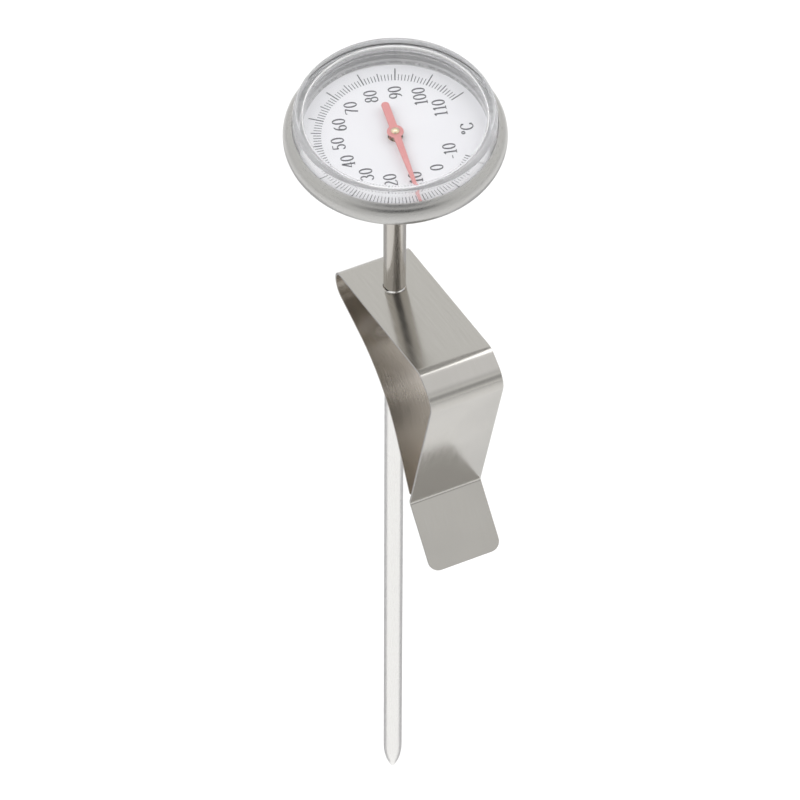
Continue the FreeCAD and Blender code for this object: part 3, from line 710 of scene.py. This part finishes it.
def makeClip(o):
    fold = -clipHigh.y + o["thick"] / 2
    front = roundedLine([
        (o["tabOut"], headLevel - o["tabDepth"], 0), (o["jawOut"], 0, o["creaseRadius"]),
        (o["kneeOut"], headLevel - o["kneeDepth"], o["kneeRadius"]),
        (o["shoulderOut"], plateHeight(o["shoulderOut"]), o["shoulderRadius"]),
        (o["seam"], plateHeight(o["seam"]), 0)], steps=12)
    first, second = front[0], front[1]
    along = (second - first).normalized()
    rounding = [first + along * o["tabCorner"] * (1 - math.cos(math.pi / 2 * k / 8)) for k in range(1, 9)]
    front = [first] + rounding + front[1:]
    slot = slotCutter("slotTool", o["slotWidth"] / 2, (o["slotLength"] - o["slotWidth"]) / 2,
                      (0, 0, plateHeight(0)), -o["plateSlope"])
    top = sweptStrip("clipTopAndArm", front, o["tabCorner"], [slot])
    top.data.materials.append(coats["shearedEdgeAndPaintedShade"])
    slope = math.radians(o["plateSlope"])
    upright = Vector((0, math.sin(slope), math.cos(slope)))
    # faces by the slot that lean off the plate, bevels too, take the dark edge colour: partly the sheared
    # edge's own dullness, partly painted shade of the gap round the probe
    for polygon in top.data.polygons:
        byProbe = polygon.center.xy.length < o["slotLength"] and abs(polygon.center.x) < o["slotWidth"]
        if byProbe and abs(polygon.normal.dot(upright)) < o["slotPaintedShadeLean"]:
            polygon.material_index = 1
    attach(top, "clip")
    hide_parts("clip_front_leaf")
    turn = o["leafTurn"]
    drop = leafHeight(turn) - (headLevel - o["leafEnd"])
    end = turn + drop * math.tan(math.radians(o["leafSlope"]))
    back = roundedLine([
        (o["seam"], plateHeight(o["seam"]), 0), (fold, plateHeight(fold), o["foldRadius"]),
        (fold, leafHeight(fold), o["foldRadius"]), (turn, leafHeight(turn), o["leafRadius"]),
        (end, headLevel - o["leafEnd"], 0)], steps=14)
    hole = slotCutter("holeTool", o["leafHole"], 0, (0, 0, leafHeight(0)), 0)
    leaf = sweptStrip("clipFoldAndLeaf", back, 0, [hole])
    leaf.data.materials.append(leafPaintedBounceSteel)
    # below the fold's middle the strip takes the paler, warmer copy of the steel: painted bounce light
    # inside the fold
    foldLine = (plateHeight(fold) + leafHeight(fold)) / 2
    for polygon in leaf.data.polygons:
        if polygon.center.z < foldLine:
            polygon.material_index = 1
    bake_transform(leaf)
    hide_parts("clip_back_leaf")


makeClip(strip)
print("clip bent")

camera = {"azimuth": -24.7, "elevation": 51.494, "roll": 0.311, "lens": 292.5, "distance": 1.2768,
          "aim": (-0.0160, -0.0377, 0.0523)}
studio = {"floorDrop": 300 * mm, "floorSize": 12.0, "flagLift": 5 * mm, "worldStrength": 1.0, "bounces": 8,
          "darkAzimuth": -20,
          "darkEdge": (0.66, 0.93),
          "sky": [(0.0, "F8F8F6"), (0.28, "F0F0EE"), (0.42, "F0F0EE"), (0.55, "F4F4F2"), (0.8, "F6F6F6"),
                  (1.0, "FFFFFF")],
          "darkSky": [(0.0, "EAEAE8"), (0.15, "A0A0A0"), (0.3, "38383A"), (0.4, "626264"), (0.48, "B8B8B8"),
                      (0.56, "EEEEEC"), (0.68, "B0B0B0"), (0.78, "8A8A8C"), (0.95, "909092"),
                      (1.0, "B8B8B8")]}
lamps = [
    {"name": "leftPanel", "size": (1.4, 1.2), "power": 9, "azimuth": -112, "elevation": 52, "distance": 1.5},
    {"name": "rightPanel", "size": (1.0, 1.0), "power": 7, "azimuth": 82, "elevation": 38, "distance": 1.5},
    {"name": "topStrip", "size": (1.1, 0.5), "power": 2.6, "azimuth": 155, "elevation": 71, "distance": 1.5,
     "mirrored": True}]
flags = [
    {"name": "leftFlag", "across": (-0.45, -0.07), "away": (-0.02, 0.42)},
    {"name": "rightFlag", "across": (0.07, 0.45), "away": (-0.02, 0.42)}]


def awayFrom(target, azimuth, elevation, distance):
    a, e = math.radians(azimuth), math.radians(elevation)
    back = Vector((math.sin(a) * math.cos(e), -math.cos(a) * math.cos(e), math.sin(e)))
    return Vector(target) + back * distance


def makeStudio():
    scene = bpy.context.scene
    scene.view_settings.view_transform = "Standard"
    scene.cycles.glossy_bounces = studio["bounces"]
    world = bpy.data.worlds.new("studio")
    scene.world = world
    world.use_nodes = True
    tree = world.node_tree
    place = addNode(tree, "TexCoord").outputs["Generated"]
    height = addNode(tree, "SeparateXYZ", {"Vector": place}).outputs["Z"]
    tones = []
    for sky in ("sky", "darkSky"):
        tones.append(addNode(tree, "ValToRGB", {"Fac": height}))
        ramp = tones[-1].color_ramp
        for k, (stop, shade) in enumerate(studio[sky]):
            mark = ramp.elements[k] if k < 2 else ramp.elements.new(stop)
            mark.position = stop
            mark.color = linear(shade)
    # the side of the room where the operator stands is darker
    flat = addNode(tree, "VectorMath", {0: place, 1: (1, 1, 0)}, operation="MULTIPLY")
    compass = addNode(tree, "VectorMath", {0: flat.outputs[0]}, operation="NORMALIZE")
    dark = math.radians(studio["darkAzimuth"])
    facing = addNode(tree, "VectorMath", {
        0: compass.outputs[0], 1: (math.sin(dark), -math.cos(dark), 0)}, operation="DOT_PRODUCT")
    share = addNode(tree, "MapRange", {
        "Value": facing.outputs["Value"],
        "From Min": studio["darkEdge"][0], "From Max": studio["darkEdge"][1]})
    tone = addNode(tree, "MixRGB", {
        "Fac": share.outputs[0], "Color1": tones[0].outputs[0], "Color2": tones[1].outputs[0]})
    background = tree.nodes["Background"]
    tree.links.new(tone.outputs[0], background.inputs["Color"])
    background.inputs["Strength"].default_value = studio["worldStrength"]
    middle = (0, 0, (cadBounds[0].z + cadBounds[1].z) / 2)
    for o in lamps:
        data = bpy.data.lights.new(o["name"], "AREA")
        data.shape, data.size, data.size_y = "RECTANGLE", o["size"][0], o["size"][1]
        data.energy = o["power"]
        lamp = bpy.data.objects.new(o["name"], data)
        scene.collection.objects.link(lamp)
        # the side panels light the piece without showing as hard shapes in the polished parts
        lamp.visible_glossy = o.get("mirrored", False)
        lamp.visible_transmission = o.get("mirrored", False)
        lamp.location = awayFrom(middle, o["azimuth"], o["elevation"], o["distance"])
        lamp.rotation_euler = (lamp.location - Vector(middle)).to_track_quat("Z", "Y").to_euler()
    half = studio["floorSize"] / 2
    level = cadBounds[0].z - studio["floorDrop"]
    bearing = math.radians(camera["azimuth"])
    sideways = Vector((math.cos(bearing), math.sin(bearing)))
    onward = Vector((-sideways.y, sideways.x))
    for o in flags:
        corners = [sideways * s + onward * d for s, d in (
            (o["across"][0], o["away"][0]), (o["across"][1], o["away"][0]),
            (o["across"][1], o["away"][1]), (o["across"][0], o["away"][1]))]
        mesh = bpy.data.meshes.new(o["name"])
        mesh.from_pydata([(p.x, p.y, level + studio["flagLift"]) for p in corners], [], [(0, 1, 2, 3)])
        mesh.materials.append(coats["greyFlag"])
        flag = bpy.data.objects.new(o["name"], mesh)
        scene.collection.objects.link(flag)
        flag.visible_camera = False
        flag.visible_shadow = False
        flag.visible_diffuse = False
    mesh = bpy.data.meshes.new("studioFloor")
    mesh.from_pydata([(x * half, y * half, level) for x, y in ((-1, -1), (1, -1), (1, 1), (-1, 1))],
                     [], [(0, 1, 2, 3)])
    mesh.materials.append(coats["studioFloor"])
    floor = bpy.data.objects.new("studioFloor", mesh)
    scene.collection.objects.link(floor)


def makeCamera(o):
    data = bpy.data.cameras.new("camera")
    data.lens, data.sensor_width = o["lens"], 36
    data.clip_start, data.clip_end = 0.05, 50
    eye = bpy.data.objects.new("camera", data)
    bpy.context.scene.collection.objects.link(eye)
    turn = (Matrix.Rotation(math.radians(o["azimuth"]), 4, "Z")
            @ Matrix.Rotation(math.radians(90 - o["elevation"]), 4, "X")
            @ Matrix.Rotation(math.radians(o["roll"]), 4, "Z"))
    place = awayFrom(o["aim"], o["azimuth"], o["elevation"], o["distance"])
    eye.matrix_world = Matrix.Translation(place) @ turn
    bpy.context.scene.camera = eye


makeStudio()
makeCamera(camera)
print("studio lit")
